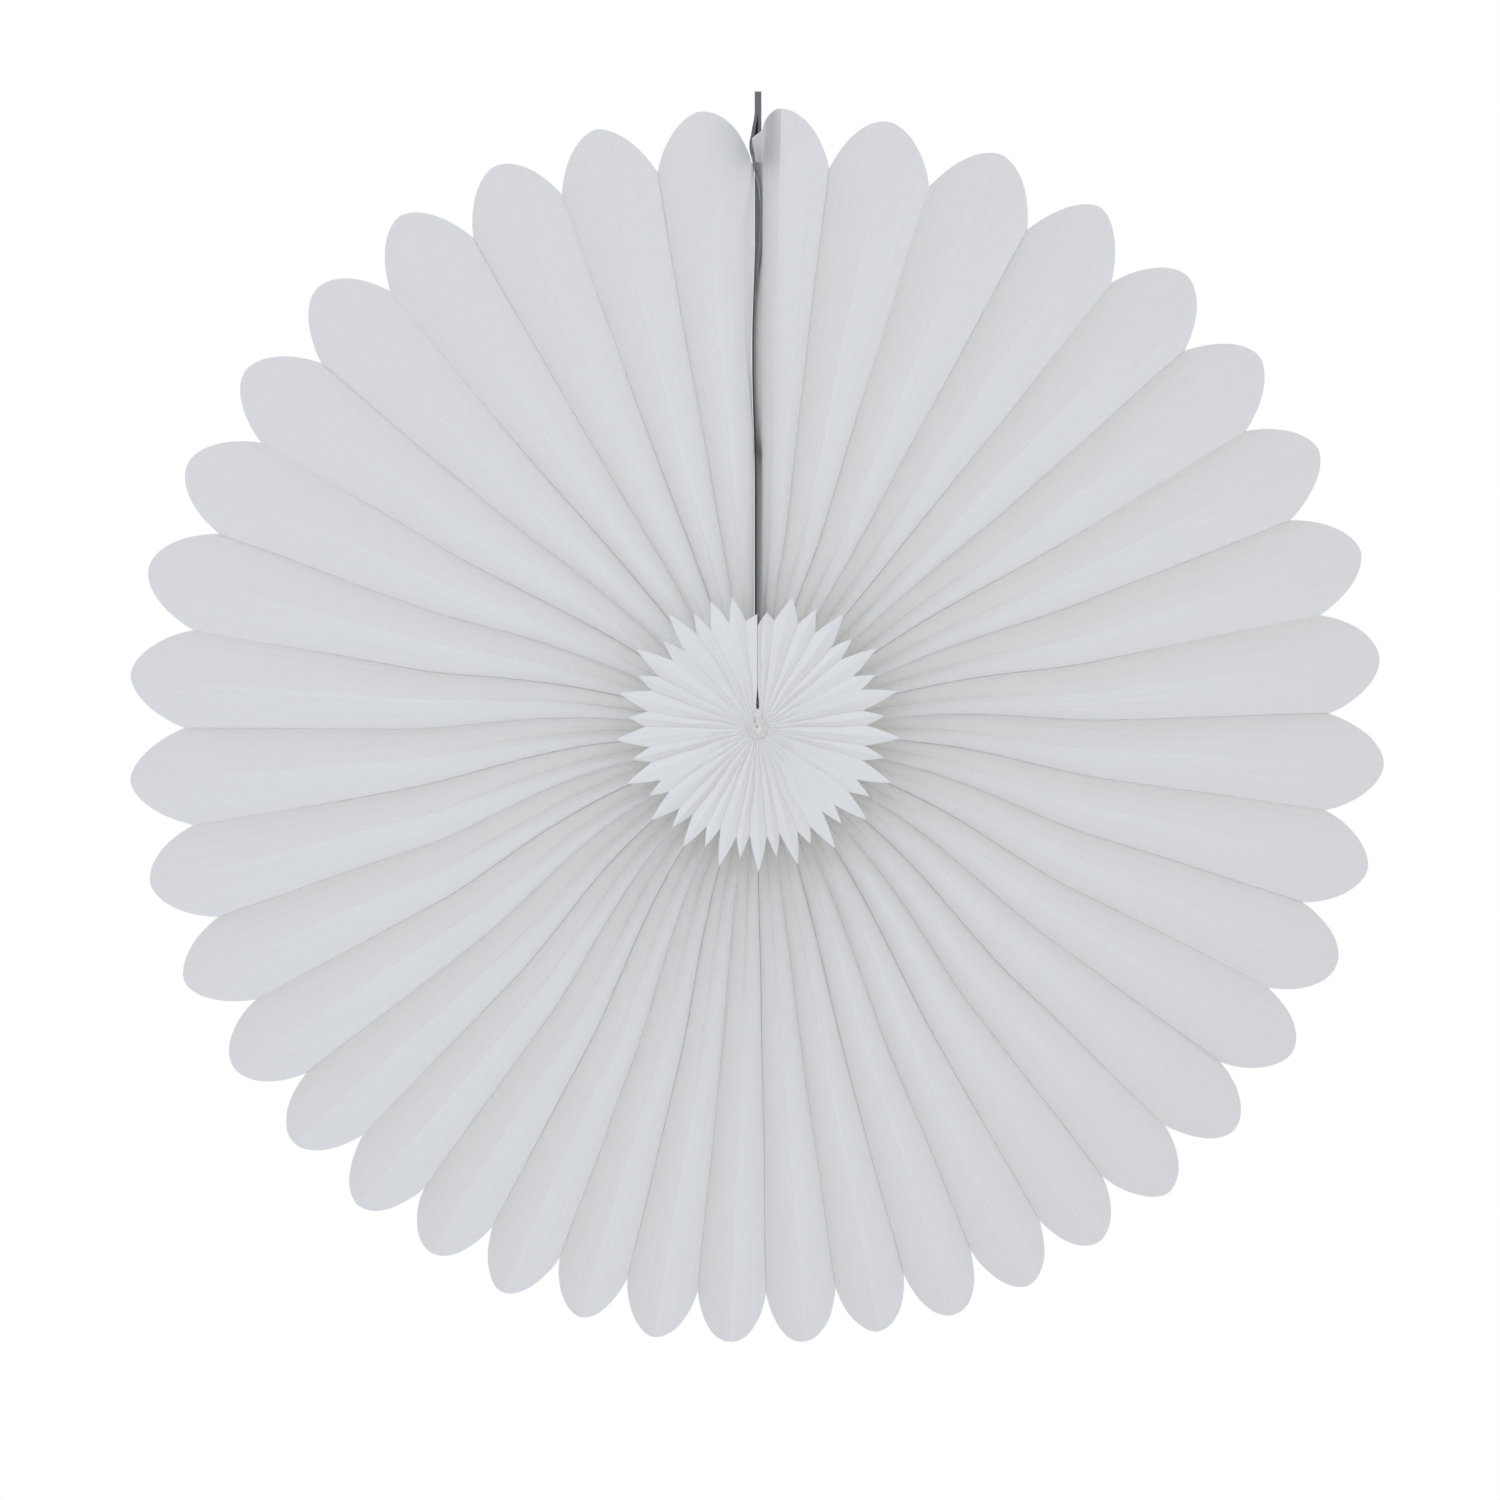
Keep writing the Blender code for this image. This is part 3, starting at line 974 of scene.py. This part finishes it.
@dataclass
class StarTree(SheetTree):
    """The tree that makes one star sheet: flat points, and creases that gather to the hub."""

    front: float = -0.0135
    relief: float = 0.0032
    steps: int = 8
    crowd: float = 0.6
    tip: float = 0.0685
    seam_tip: float = 0.0620
    notch: float = 0.0520
    start: float = 0.0036
    even_tip: float = 0.0643
    even_over: Pair = (3.0, 9.0)
    right_short: float = 0.0088
    short_over: Pair = (2.0, 4.0)
    first_short: float = 0.0065
    last_short: float = 0.0098
    lean: float = 0.15
    stray: float = 0.10
    stray_until: Pair = (0.034, 0.052)
    stray_waves: Pair = (4.3, 38.0)
    right_turn: float = 4.0
    right_over: Pair = (2.0, 8.5)
    left_turn: float = 1.5
    left_over: Pair = (2.0, 9.0)
    turn_over: Pair = (0.008, 0.040)
    even_depth_until: Pair = (0.010, 0.026)
    steepest: float = 0.5
    valley_shape: float = 0.60
    ripple_over: Pair = (0.004, 0.02)
    cut_share: float = 0.3
    tip_chance: float = 0.0012
    notch_chance: float = 0.0016
    ripple: float = 0.00030
    slit: float = 0.0007
    slit_reach: Pair = (0.0095, 0.0215)
    slit_end: Pair = (0.0084, 0.0093)
    edge: float = 0.00010

    def fold_tree(self) -> Tree:
        """Where a fold of the star runs at a radius.

        Returns:
            A group with Fold, Radius and Seed in, and Turn and Depth out.
        """
        bench, given, out = new_tree(
            "star fold", TreeKind.GEOMETRY, FOLD_INPUTS, numbers("Turn", "Depth")
        )
        fold, radius = given["Fold"], given["Radius"]
        odd = fold.of("FLOORED_MODULO", 2.0)
        lean = (2.0 - fold.of("FLOORED_MODULO", 4.0)) * odd * self.lean
        half = (1.0 - radius.eased(*self.slit_reach)) * radius.eased(*self.slit_end)
        half = half * self.slit + self.edge
        room = (half / radius).of("MINIMUM", 0.9).of("ARCSINE")
        turn = bench.group(self.spread, Fold=fold + lean, Radius=radius)[0]
        turn = room + turn * (1.0 - room * (1 / math.pi))
        inside = fold.of("GREATER_THAN", 0.5) * fold.of("LESS_THAN", self.rule.last_fold - 0.5)
        waves = self.stray_waves
        line = bench.vector(fold * waves[0], radius * waves[1], given["Seed"] + 2.0)
        near = (1.0 - radius.eased(*self.stray_until)) * inside
        turn = turn + bench.noise(line, 1.0, 1.0) * near * self.stray
        left = self.rule.last_fold - fold
        right_by = fold.eased(0.0, 2.0) * (1.0 - fold.eased(*self.right_over)) * self.right_turn
        left_by = left.eased(0.0, 2.0) * (1.0 - left.eased(*self.left_over)) * self.left_turn
        turn = turn - (right_by + left_by) * radius.eased(*self.turn_over) * math.radians(1.0)
        deep = bench.chance(fold, given["Seed"] + 7.0) * 0.5 + 0.5
        deep = deep + (1.0 - deep) * (1.0 - radius.eased(*self.even_depth_until))
        pitch = radius * (FULL_TURN / self.rule.petals)
        valley = (deep * self.relief).of("MINIMUM", pitch * self.steepest)
        bench.feed(out.inputs["Turn"], turn)
        bench.feed(out.inputs["Depth"], valley * odd + self.front)
        return bench.tree

    def tree(self) -> Tree:
        """The whole tree."""
        sheet = {"Sheet": SocketKind.GEOMETRY}
        bench, given, out = new_tree("star sheet", TreeKind.GEOMETRY, SHEET_INPUTS, sheet)
        base, share, way, _, _ = self.fold_place(bench, given)
        seed = given["Seed"]
        odd = base.of("FLOORED_MODULO", 2.0)
        rear, front = base + 1.0 - odd, base + odd
        from_rear = odd * share + (1.0 - odd) * (1.0 - share)
        seam = front.of("FLOORED_MODULO", 4.0) * 0.5
        tip = seam * (self.seam_tip - self.tip) + self.tip
        tip = tip + bench.chance(front, seed) * self.tip_chance
        near = 2.0 - front.eased(*self.even_over)
        near = near - (self.rule.last_fold - front).eased(*self.even_over)
        tip = tip + (self.even_tip - tip) * near
        tip = tip - (1.0 - front.eased(*self.short_over)) * self.right_short
        tip = tip - front.of("LESS_THAN", 0.5) * self.first_short
        tip = tip - front.of("GREATER_THAN", self.rule.last_fold - 0.5) * self.last_short
        notch = bench.chance(rear, seed) * self.notch_chance + self.notch
        end = notch + (tip - notch) * from_rear
        radius = (end - self.start) * way + self.start
        line = self.fold_tree()
        turn, depth = bench.group(line, Fold=base, Radius=radius, Seed=seed)
        far = bench.group(line, Fold=base + 1.0, Radius=radius, Seed=seed)
        valley = odd * depth + (1.0 - odd) * far[1]
        depth = valley + (self.front - valley) * from_rear**self.valley_shape
        flat = (base + share) * (self.cut_share * self.rule.panel)
        waves = bench.noise(bench.vector(flat * 160.0, radius * 60.0, 0.0), 1.0, 2.0)
        depth = depth + waves * (2 * self.ripple) * radius.eased(*self.ripple_over)
        turn = turn + (far[0] - turn) * share
        moved = self.set_down(bench, given, turn, radius, 0.0, depth, flat)
        return bench.finish(moved, given["Paper"], out)


# ---------------------------------------------------------------- sub-assemblies


@dataclass
class PleatedSheets:
    """The 21 petal sheets and the 21 star sheets, each riding on its own body."""

    rule: FanRule
    seam: Tree
    effects: SharedEffects
    star_paper: Material
    petal_rows: int = 64
    star_rows: int = 38
    seed: float = 3.0
    slack: float = 0.90
    sharp_over: float = 38.0

    def fold_with(self, piece: bpy.types.Object) -> None:
        """Gives a sheet its own copy of its mesh.

        Args:
            piece: The sheet.
        """
        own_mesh(piece)

    def values(
        self, tree: SheetTree, span: tuple[int, int], rows: int, paper: Material
    ) -> dict[str, object]:
        """The inputs of one sheet's tree.

        Args:
            tree: The kind of sheet.
            span: Its first and last fold, flaps included.
            rows: Its points along a pleat.
            paper: Its material.

        Returns:
            A value for each named input.
        """
        hems = [tree.hem_columns if fold % 4 == 2 else 0 for fold in span]
        return {
            "First Fold": float(span[0]),
            "Last Fold": float(span[1]),
            "Columns": tree.steps * (span[1] - span[0]) + 1 + sum(hems),
            "Rows": rows,
            "Left Hem": float(hems[0]),
            "Right Hem": float(hems[1]),
            "Seed": self.seed,
            "Paper": paper,
        }

    def flat_petal(self, folds: tuple[int, int]) -> tuple[Pair, float]:
        """The size that a petal sheet is cut from and its area.

        Args:
            folds: Its first and last fold, its flap included.

        Returns:
            Its width and length, and the area that its petals leave.
        """
        rule = self.rule
        width = (folds[1] - folds[0]) * rule.panel
        rise = rule.petal_rise * (1.0 - 1.0 / (rule.petal_curve + 1.0))
        reach = rule.notch_radius + rise - rule.sheet_start
        return (width, rule.tip_radius - rule.sheet_start), width * reach

    def flat_star(self, tree: StarTree, folds: tuple[int, int]) -> tuple[Pair, float]:
        """The size that a star sheet is cut from and its area.

        Args:
            tree: The star's tree, which holds its sizes.
            folds: Its first and last fold.

        Returns:
            Its width and length, and the area that its points leave.
        """
        turn = (folds[1] - folds[0]) * FULL_TURN / self.rule.last_fold
        at_seam = folds[0] == 0 or folds[1] == self.rule.last_fold
        cut_tip = tree.even_tip - tree.right_short if at_seam else tree.tip
        middle = (cut_tip + tree.notch) / 2
        area = turn * (middle**2 - tree.start**2) / 2
        return (tree.tip * turn, tree.tip - tree.start), area

    def build(self) -> None:
        """Makes every sheet and ties it to its body."""
        spread = self.rule.spread_tree()
        petals = PetalTree(self.rule, spread, self.seam)
        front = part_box("star_sheet_05")[0].y + PAPER / 2
        star = StarTree(self.rule, spread, self.seam, front=front)
        petal_tree, star_tree = petals.tree(), star.tree()
        petal_paper, star_paper = PETAL_PAPER.made(self.effects), self.star_paper
        for number, span in enumerate(self.rule.spans()):
            body = f"sheet_{number:02d}"
            first, last = span
            flapped = (first - (first == 0), last + (last == self.rule.last_fold))
            values = self.values(petals, flapped, self.petal_rows, petal_paper)
            petal = realised(f"petal_paper_{number:02d}", petal_tree, values, PAPER)
            values = self.values(star, span, self.star_rows, star_paper)
            points = realised(f"star_paper_{number:02d}", star_tree, values, PAPER)
            petal_cut, star_cut = self.flat_petal(flapped), self.flat_star(star, span)
            for piece, node, finish, off, (flat, area) in (
                (petal, f"petal_sheet_{number:02d}", PETAL_PAPER, self.rule.seam_half, petal_cut),
                (points, f"star_sheet_{number:02d}", STAR_PAPER, 0.0, star_cut),
            ):
                soft_edges(piece, self.sharp_over)
                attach(piece, body)
                self.fold_with(piece)
                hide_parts(node)


@dataclass
class EndCards:
    """The two grey cards with their hanging tab, and the tape between them."""

    rule: FanRule
    seam: Tree
    effects: SharedEffects
    tab_width: float = 0.010
    hole_radius: float = 0.0015
    hole_below: float = 0.005
    rounding: float = 0.00012
    cuts: int = 44
    crowd: float = 1.6
    front_cuts: int = 8
    edge_steps: int = 14
    hole_steps: int = 32
    inner_half: float = 0.0008
    closed_gap: float = 0.02
    tab_low: float = 0.0013
    tape_room: Pair = (0.0062, 0.0085)
    tape_low: Pair = (0.138, 0.148)
    tape_high: Pair = (0.252, 0.262)
    recess: float = 0.0035
    recess_over: Pair = (0.004, 0.011)
    shallow: float = 0.62
    shallow_over: Pair = (0.190, 0.225)
    forward_over: Pair = (0.271, 0.2755)

    def outline(self, low: Vector, high: Vector) -> list[Pair]:
        """(Y, Z) round a card and its tab, whose end is cut like half a petal.

        Args:
            low: The card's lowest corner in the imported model.
            high: Its highest corner.

        Returns:
            The outline's corners in order.
        """
        rule, half = self.rule, self.tab_width / 2
        steps = self.edge_steps

        def top(y: float) -> float:
            share = (high.y - y) / (high.y - low.y)
            return rule.hub.z + rule.notch_radius + rule.petal_rise * (1 - share**rule.petal_curve)

        behind = [half + (high.y - half) * n / 2 for n in (2, 1, 0)]
        before = [-half + (low.y + half) * n / steps for n in range(steps + 1)]
        points = [(low.y, low.z), (high.y, low.z)] + [(y, top(y)) for y in behind]
        points += [(half, high.z - self.tab_low), (-half, high.z - self.tab_low)]
        return points + [(y, top(y)) for y in before]

    def plate(self, low: Vector, high: Vector) -> bpy.types.Mesh:
        """A flat card with its hole, cut across often enough to bend.

        Args:
            low: The card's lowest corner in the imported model.
            high: Its highest corner.

        Returns:
            The card's mesh.
        """
        bm = bmesh.new()
        turns = [FULL_TURN * n / self.hole_steps for n in range(self.hole_steps)]
        centre = high.z - self.tab_low - self.hole_below
        hole = [
            (self.hole_radius * math.cos(t), centre + self.hole_radius * math.sin(t)) for t in turns
        ]
        for loop in (self.outline(low, high), hole):
            ring = [bm.verts.new((low.x, y, z)) for y, z in loop]
            for a, b in zip(ring, ring[1:] + ring[:1]):
                bm.edges.new((a, b))
        bmesh.ops.triangle_fill(bm, edges=bm.edges[:], use_beauty=True)
        for n in range(1, self.cuts):
            height = low.z + (high.z - low.z) * (1 - (1 - n / self.cuts) ** self.crowd)
            self.cut(bm, (0, 0, height), (0, 0, 1))
        for n in range(1, self.front_cuts):
            self.cut(bm, (0, low.y * (1 - n / self.front_cuts), 0), (0, 1, 0))
        grown = bmesh.ops.extrude_face_region(bm, geom=bm.faces[:])["geom"]
        moved = [item for item in grown if isinstance(item, bmesh.types.BMVert)]
        bmesh.ops.translate(bm, verts=moved, vec=(high.x - low.x, 0, 0))
        bmesh.ops.recalc_face_normals(bm, faces=bm.faces[:])
        mesh = bpy.data.meshes.new("card_plate")
        bm.to_mesh(mesh)
        bm.free()
        return mesh

    @staticmethod
    def cut(bm: bmesh.types.BMesh, place: tuple, normal: tuple) -> None:
        """Adds edges where a plane crosses the plate."""
        geometry = bm.verts[:] + bm.edges[:] + bm.faces[:]
        bmesh.ops.bisect_plane(bm, geom=geometry, plane_co=place, plane_no=normal, dist=1e-6)

    def bend_tree(self) -> Tree:
        """The tree that closes a card up to the other one and bends it with the seam."""
        inputs = {"Card": SocketKind.GEOMETRY, "Board": SocketKind.MATERIAL, **numbers("Splay")}
        bent = {"Bent": SocketKind.GEOMETRY}
        bench, given, out = new_tree("bent card", TreeKind.GEOMETRY, inputs, bent)
        x, y, z = bench.here()
        radius = z - self.rule.hub.z
        drift, _, _, splay, _ = bench.group(self.seam, Radius=radius, Depth=y)
        taped = radius.eased(*self.tape_low) - radius.eased(*self.tape_high)
        taped = taped * (1.0 - y.of("ABSOLUTE").eased(*self.tape_room))
        inner = x.of("ABSOLUTE").of("LESS_THAN", self.inner_half) * (1.0 - taped)
        forward = radius.eased(*self.forward_over) * given["Splay"]
        back = (y * -1.0).eased(*self.recess_over) * (1.0 - forward) * self.recess
        back = back * (1.0 - radius.eased(*self.shallow_over) * self.shallow)
        close = x * inner * (self.closed_gap - 1.0)
        offset = bench.vector(close + drift + splay * given["Splay"], back, 0.0)
        return bench.finish(bench.moved(given["Card"], Offset=offset), given["Board"], out)

    def build(self) -> None:
        """Makes both cards and dresses the tape."""
        tree, board = self.bend_tree(), GREY_BOARD.made(self.effects)
        for side, splay in (("right", 0.0), ("left", 1.0)):
            node = f"end_card_{side}"
            values = {"Splay": splay, "Board": board}
            plate = self.plate(*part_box(node))
            card = realised(f"card_{side}", tree, values, start=plate, rounding=self.rounding)
            soft_edges(card, 35.0)
            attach(card, f"card_{side}")
            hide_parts(node)
        tape = frame["nodes"]["closure_tape"]
        tape.data.materials.clear()
        tape.data.materials.append(TAPE.made(self.effects))
        LOG.info("two end cards with their tab, and the tape between them")


@dataclass
class BindingThread:
    """The cotton thread that ties the sheets' inner ends: three strands laid up in a ring."""

    rule: FanRule
    effects: SharedEffects
    strands: int = 3
    turns: int = 16
    along: int = 288
    around: int = 10
    merge: float = 1e-6

    def tree(self, ring: float, thick: float) -> Tree:
        """The tree of the laid-up ring.

        Args:
            ring: The radius of the thread's middle.
            thick: The thread's thickness.

        Returns:
            A tree that makes the whole ring.
        """
        inputs, thread = {"Cotton": SocketKind.MATERIAL}, {"Thread": SocketKind.GEOMETRY}
        bench, given, out = new_tree("laid thread", TreeKind.GEOMETRY, inputs, thread)
        strand, lay = thick * 0.27, thick * 0.23
        joined = bench.node("GeometryNodeJoinGeometry")
        for number in range(self.strands):
            grid = bench.grid(self.along + 1, self.around + 1)
            x, y, _ = bench.here()
            turn, round_it = x * FULL_TURN, y * FULL_TURN
            phase = turn * float(self.turns) + number * FULL_TURN / self.strands
            out_by = phase.of("COSINE") * lay + round_it.of("COSINE") * strand + ring
            depth = phase.of("SINE") * lay + round_it.of("SINE") * strand
            hub = self.rule.hub
            place = bench.vector(
                turn.of("SINE") * out_by + hub.x, depth, turn.of("COSINE") * out_by + hub.z
            )
            strand_mesh = bench.merged(bench.moved(grid, Position=place), self.merge)
            bench.tree.links.new(strand_mesh, joined.inputs[0])
        return bench.finish(joined.outputs[0], given["Cotton"], out)

    def build(self) -> None:
        """Makes the ring in place of the plain one."""
        low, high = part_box("binding_thread")
        thick = high.y - low.y
        tree = self.tree(high.x - self.rule.hub.x - thick / 2, thick)
        cotton = COTTON.made(self.effects)
        thread = realised("laid_thread", tree, {"Cotton": cotton})
        outward(thread)
        soft_edges(thread, 60.0)
        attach(thread, "card_right")
        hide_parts("binding_thread")
        LOG.info("binding thread of %d strands", self.strands)


@dataclass
class HubGather:
    """The crumpled paper where the star's ends gather over the hub."""

    rule: FanRule
    radius: float = 0.0050
    rag: float = 0.0013
    rag_waves: float = 3.0
    pleats: int = 34
    pleats_over: Pair = (0.12, 0.6)
    pleat_stray: float = 9.0
    stray_waves: Pair = (2.0, 300.0)
    pleat_height: float = 0.00055
    crumple: float = 0.0009
    crumple_waves: float = 620.0
    crumple_until: Pair = (0.7, 1.0)
    pit_depth: float = 0.0024
    pit_width: float = 0.00080
    pit_stretch: float = 0.4
    pit_edge: Pair = (0.35, 1.0)
    pits: tuple[Pair, ...] = ((-0.0012, 0.0038), (-0.00024, 0.0005))
    tongue_width: float = 0.0016
    tongue_reach: float = 0.0031
    tongue_edge: Pair = (0.8, 1.1)
    around: int = 240
    across: int = 26
    merge: float = 0.00001
    stand_off: float = 0.00012
    seed: float = 4.0

    def tree(self, front: float) -> Tree:
        """The tree of the gathered disc.

        Args:
            front: The Y of the star's front.

        Returns:
            A tree that makes the disc as one thin sheet.
        """
        inputs = {"Paper": SocketKind.MATERIAL, **numbers("Seed")}
        gather = {"Gather": SocketKind.GEOMETRY}
        bench, given, out = new_tree("hub gather", TreeKind.GEOMETRY, inputs, gather)
        grid = bench.grid(self.around + 1, self.across)
        x, y, _ = bench.here()
        turn, way = x * FULL_TURN, y + 0.5
        sine, cosine = turn.of("SINE"), turn.of("COSINE")
        rags = self.rag_waves
        ragged = bench.noise(bench.vector(sine * rags, cosine * rags, given["Seed"]), 1.0, 2.0)
        tongue = (turn * (1 / (self.tongue_width / self.radius))).of("ABSOLUTE")
        tongue = (1.0 - tongue.eased(*self.tongue_edge)) * self.tongue_reach
        reach = ragged * (2 * self.rag) + tongue + self.radius
        radius = reach * way + 0.00002
        round_by, out_by = self.stray_waves
        line = bench.vector(sine * round_by, cosine * round_by, radius * out_by)
        stray = bench.noise(line, 1.0, 1.0) * self.pleat_stray
        folds = (turn * float(self.pleats) + stray).of("COSINE").of("ABSOLUTE")
        lift = folds * way.eased(*self.pleats_over) * self.pleat_height
        waves = self.crumple_waves
        line = bench.vector(sine * radius * waves, cosine * radius * waves, 3.0)
        crumpled = bench.noise(line, 1.0, 3.0) * (1.0 - way.eased(*self.crumple_until))
        lift = lift + crumpled * self.crumple
        for across, up in self.pits:
            gap_x, gap_z = sine * radius - across, cosine * radius - up
            gap = (gap_x * gap_x + gap_z * gap_z * self.pit_stretch).of("SQRT")
            near = gap * (1 / self.pit_width)
            lift = lift - (1.0 - near.eased(*self.pit_edge)) * self.pit_depth
        mapped = bench.mapped(grid, bench.vector(sine * radius, cosine * radius, 0.0))
        hub = self.rule.hub
        place = bench.vector(
            sine * radius + hub.x, front - self.stand_off - lift, cosine * radius + hub.z
        )
        merged = bench.merged(bench.moved(mapped, Position=place), self.merge)
        return bench.finish(merged, given["Paper"], out)

    def build(self, paper: Material) -> None:
        """Makes the gather in place of the plain dab."""
        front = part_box("star_sheet_05")[0].y
        values = {"Seed": self.seed, "Paper": paper}
        gather = realised("hub_gather", self.tree(front), values, PAPER)
        soft_edges(gather, 50.0)
        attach(gather, "card_right")
        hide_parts("centre_dab")
        LOG.info("gathered hub")


@dataclass
class StudioLight:
    """A pale floor, a white surround, a soft key light and the camera."""

    camera_gap: float = 3.2
    lens: float = 160.0
    view_width: float = 0.7215
    aim: Pair = (-0.0036, -0.3126)
    floor_drop: float = 0.80
    floor_half: float = 1.6
    floor_reach: Pair = (-2.4, 1.05)
    surround: float = 0.62
    key_power: float = 18.0
    key_size: float = 1.3
    key_place: Triple = (-0.9, -2.6, 1.0)
    key_tint: Triple = (0.82, 0.98, 1.30)

    def build(self) -> None:
        """Makes the lot."""
        self.floor()
        self.world()
        self.key()
        self.camera()

    def floor(self) -> None:
        """A plain pale floor below the hanging fan."""
        mesh = bpy.data.meshes.new("studio_floor")
        half, (near, far), z = self.floor_half, self.floor_reach, -self.floor_drop
        corners = [(-half, near, z), (half, near, z), (half, far, z), (-half, far, z)]
        mesh.from_pydata(corners, [], [(0, 1, 2, 3)])
        floor = bpy.data.objects.new("studio_floor", mesh)
        bpy.context.scene.collection.objects.link(floor)
        pale = bpy.data.materials.new("pale_floor")
        pale.use_nodes = True
        shader = pale.node_tree.nodes["Principled BSDF"]
        shader.inputs["Base Color"].default_value = (0.86, 0.86, 0.86, 1.0)
        shader.inputs["Roughness"].default_value = 0.9
        mesh.materials.append(pale)

    def world(self) -> None:
        """A white surround that lights softly and shows as plain white."""
        world = bpy.data.worlds.new("white_surround")
        bpy.context.scene.world = world
        world.use_nodes = True
        bench = Bench(world.node_tree)
        light = world.node_tree.nodes["Background"]
        light.inputs["Color"].default_value = (1.0, 1.0, 1.0, 1.0)
        light.inputs["Strength"].default_value = self.surround
        seen = bench.placed("ShaderNodeBackground", {"Color": (1.0, 1.0, 1.0, 1.0)})
        path = bench.node("ShaderNodeLightPath")
        mixed = bench.node("ShaderNodeMixShader")
        bench.feed(mixed.inputs[0], path.outputs["Is Camera Ray"])
        bench.feed(mixed.inputs[1], light.outputs[0])
        bench.feed(mixed.inputs[2], seen.outputs[0])
        bench.feed(world.node_tree.nodes["World Output"].inputs[0], mixed.outputs[0])

    def key(self) -> None:
        """A soft light from above and to the left."""
        lamp = bpy.data.lights.new("key_light", "AREA")
        lamp.energy = self.key_power
        lamp.size = self.key_size
        lamp.color = self.key_tint
        held = bpy.data.objects.new("key_light", lamp)
        held.location = self.key_place
        aim = Vector((self.aim[0], 0.0, self.aim[1])) - Vector(self.key_place)
        held.rotation_euler = aim.to_track_quat("-Z", "Y").to_euler()
        bpy.context.scene.collection.objects.link(held)

    def camera(self) -> None:
        """A long lens square on to the disc's front."""
        lens = bpy.data.cameras.new("camera")
        lens.lens = self.lens
        lens.sensor_width = self.view_width / self.camera_gap * self.lens
        held = bpy.data.objects.new("camera", lens)
        held.location = (self.aim[0], -self.camera_gap, self.aim[1])
        held.rotation_euler = (math.pi / 2, 0.0, 0.0)
        bpy.context.scene.collection.objects.link(held)
        bpy.context.scene.camera = held


def main() -> None:
    """Builds every sub-assembly in order."""
    logging.basicConfig(level=logging.INFO, format="%(message)s")
    bpy.context.scene.view_settings.view_transform = "Standard"
    bpy.context.scene.cycles.max_bounces = PAPER_BOUNCES
    bpy.context.scene.cycles.diffuse_bounces = PAPER_BOUNCES
    rule = FanRule.from_frame()
    effects = SharedEffects()
    seam = SeamRule(rule.seam_half).tree()
    star_paper = STAR_PAPER.made(effects)
    PleatedSheets(rule, seam, effects, star_paper).build()
    EndCards(rule, seam, effects).build()
    BindingThread(rule, effects).build()
    HubGather(rule).build(star_paper)
    StudioLight().build()


if __name__ == "__main__":
    main()
